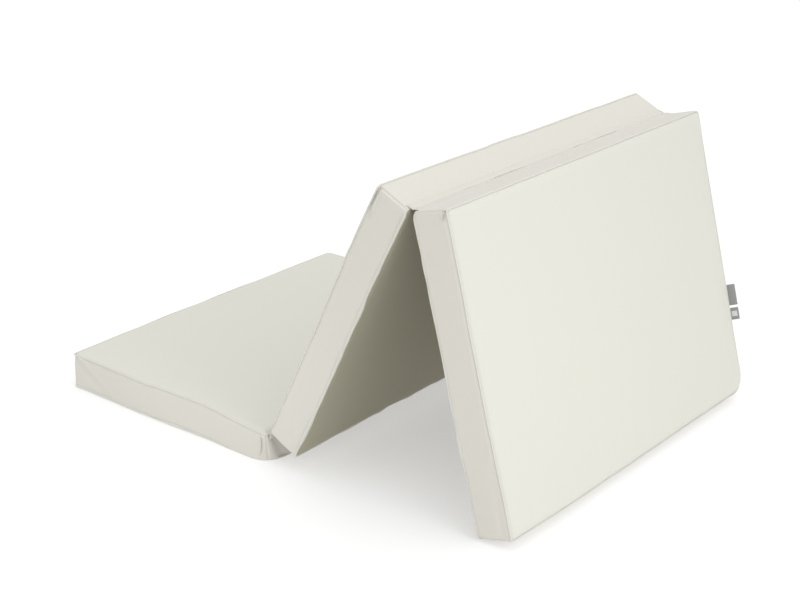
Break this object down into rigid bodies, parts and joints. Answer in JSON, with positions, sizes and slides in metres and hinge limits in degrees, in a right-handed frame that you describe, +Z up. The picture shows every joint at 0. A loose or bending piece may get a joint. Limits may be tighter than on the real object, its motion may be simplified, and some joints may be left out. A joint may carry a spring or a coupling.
{
  "type": "futon mattress",
  "caption": "Fold-up futon mattress of foam sections in zipped ivory cloth covers, joined by cloth folds and standing part folded.",
  "frame": {"origin": "centre of the foot section's underside, on the floor", "axes": "+X from the foot section towards the head section, +Y across the mattress towards the zipped side, +Z up"},
  "size_m": [1.2262, 0.92, 0.647],
  "materials": {
    "cover_cloth": "smooth woven ivory cloth",
    "under_cloth": "matt woven cloth, a darker shade than the top",
    "band_cloth": "smooth woven ivory cloth",
    "seam_cloth": "rolled seam in the cover cloth",
    "core_foam": "open-cell foam",
    "zip_tape": "twill tape",
    "zip_coil": "nylon coil",
    "zip_metal": "enamelled",
    "fold_cloth": "smooth woven ivory cloth",
    "label_cloth": "woven grey tape",
    "label_patch": "woven light grey square"
  },
  "bodies": {
    "foot_section": {"foot_foam_core": "core_foam", "foot_top_panel": "cover_cloth", "foot_under_panel": "under_cloth", "foot_top_seam": "seam_cloth", "foot_under_seam": "seam_cloth", "foot_near_band": "band_cloth", "foot_far_band": "band_cloth", "foot_foot_end_band": "band_cloth", "foot_head_end_band": "band_cloth", "foot_zip_upper_tape": "zip_tape", "foot_zip_lower_tape": "zip_tape", "foot_zip_upper_coil": "zip_coil", "foot_zip_lower_coil": "zip_coil", "foot_zip_stops": "zip_coil", "lower_fold_foot_leaf": "fold_cloth"},
    "middle_section": {"middle_foam_core": "core_foam", "middle_top_panel": "cover_cloth", "middle_under_panel": "under_cloth", "middle_top_seam": "seam_cloth", "middle_under_seam": "seam_cloth", "middle_near_band": "band_cloth", "middle_far_band": "band_cloth", "middle_foot_end_band": "band_cloth", "middle_head_end_band": "band_cloth", "middle_zip_upper_tape": "zip_tape", "middle_zip_lower_tape": "zip_tape", "middle_zip_upper_coil": "zip_coil", "middle_zip_lower_coil": "zip_coil", "middle_zip_stops": "zip_coil", "lower_fold_middle_leaf": "fold_cloth", "upper_fold_middle_leaf": "fold_cloth"},
    "head_section": {"head_foam_core": "core_foam", "head_top_panel": "cover_cloth", "head_under_panel": "under_cloth", "head_top_seam": "seam_cloth", "head_under_seam": "seam_cloth", "head_near_band": "band_cloth", "head_far_band": "band_cloth", "head_foot_end_band": "band_cloth", "head_head_end_band": "band_cloth", "head_zip_upper_tape": "zip_tape", "head_zip_lower_tape": "zip_tape", "head_zip_upper_coil": "zip_coil", "head_zip_lower_coil": "zip_coil", "head_zip_stops": "zip_coil", "upper_fold_head_leaf": "fold_cloth", "upper_tab_label": "label_cloth", "lower_tab_label": "label_cloth", "lower_tab_patch": "label_patch"},
    "foot_zip_slider_body": {"foot_zip_slider": "zip_metal"},
    "foot_zip_pull_body": {"foot_zip_pull": "zip_metal"},
    "middle_zip_slider_body": {"middle_zip_slider": "zip_metal"},
    "middle_zip_pull_body": {"middle_zip_pull": "zip_metal"},
    "head_zip_slider_body": {"head_zip_slider": "zip_metal"},
    "head_zip_pull_body": {"head_zip_pull": "zip_metal"}
  },
  "joints": [
    {"name": "lower_fold", "type": "hinge", "parent": "foot_section", "child": "middle_section", "pos_m": [0.318, 0, 0.0815], "axis": [0, 1, 0], "range_deg": [-116.5, 63.5]},
    {"name": "upper_fold", "type": "hinge", "parent": "middle_section", "child": "head_section", "pos_m": [0.67606, 0, 0.61364], "axis": [0, 1, 0], "range_deg": [-139.29, 40.71]},
    {"name": "foot_zip_slide", "type": "slide", "parent": "foot_section", "child": "foot_zip_slider_body", "axis": [1, 0, 0], "range_m": [0, 0.4946]},
    {"name": "foot_pull_hinge", "type": "hinge", "parent": "foot_zip_slider_body", "child": "foot_zip_pull_body", "pos_m": [-0.2473, 0.45265, 0.04], "axis": [0, 0, -1], "range_deg": [0, 170]},
    {"name": "middle_zip_slide", "type": "slide", "parent": "middle_section", "child": "middle_zip_slider_body", "axis": [0.4462, 0, 0.8949], "range_m": [0, 0.4946]},
    {"name": "middle_pull_hinge", "type": "hinge", "parent": "middle_zip_slider_body", "child": "middle_zip_pull_body", "pos_m": [0.38669, 0.45265, 0.12625], "axis": [0.8949, 0, -0.4462], "range_deg": [0, 170]},
    {"name": "head_zip_slide", "type": "slide", "parent": "head_section", "child": "head_zip_slider_body", "axis": [-0.2455, 0, 0.9694], "range_m": [0, 0.4946]},
    {"name": "head_pull_hinge", "type": "hinge", "parent": "head_zip_slider_body", "child": "head_zip_pull_body", "pos_m": [0.85506, 0.45265, 0.07583], "axis": [0.9694, 0, 0.2455], "range_deg": [0, 170]}
  ]
}
